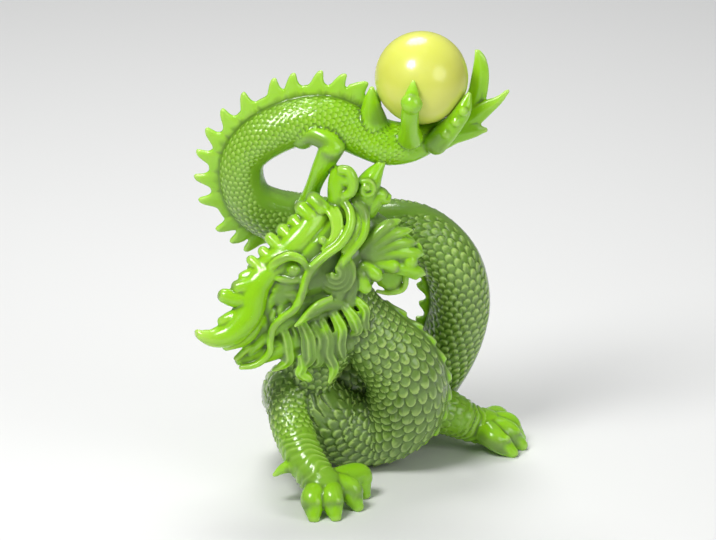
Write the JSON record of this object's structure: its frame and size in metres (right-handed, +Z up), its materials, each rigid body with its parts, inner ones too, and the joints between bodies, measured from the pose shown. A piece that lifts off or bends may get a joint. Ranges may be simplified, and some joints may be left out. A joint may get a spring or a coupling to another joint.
{
  "type": "dragon figurine",
  "caption": "Cast resin dragon, coiled on its feet with its body arched overhead, holding a round ball up in a raised hind claw.",
  "frame": {"origin": "middle of the figurine's box, on the surface it stands on", "axes": "+Z up, +X from the dragon's lip towards its far fore paw, -Y the side that the face and the near paw are on"},
  "size_m": [0.1082, 0.0752, 0.1344],
  "materials": {
    "green_resin": "glossy translucent apple green resin",
    "yellow_ball": "waxy gloss, pale yellow"
  },
  "bodies": {
    "root": {"dragon": "green_resin", "ball": "yellow_ball"}
  },
  "joints": []
}
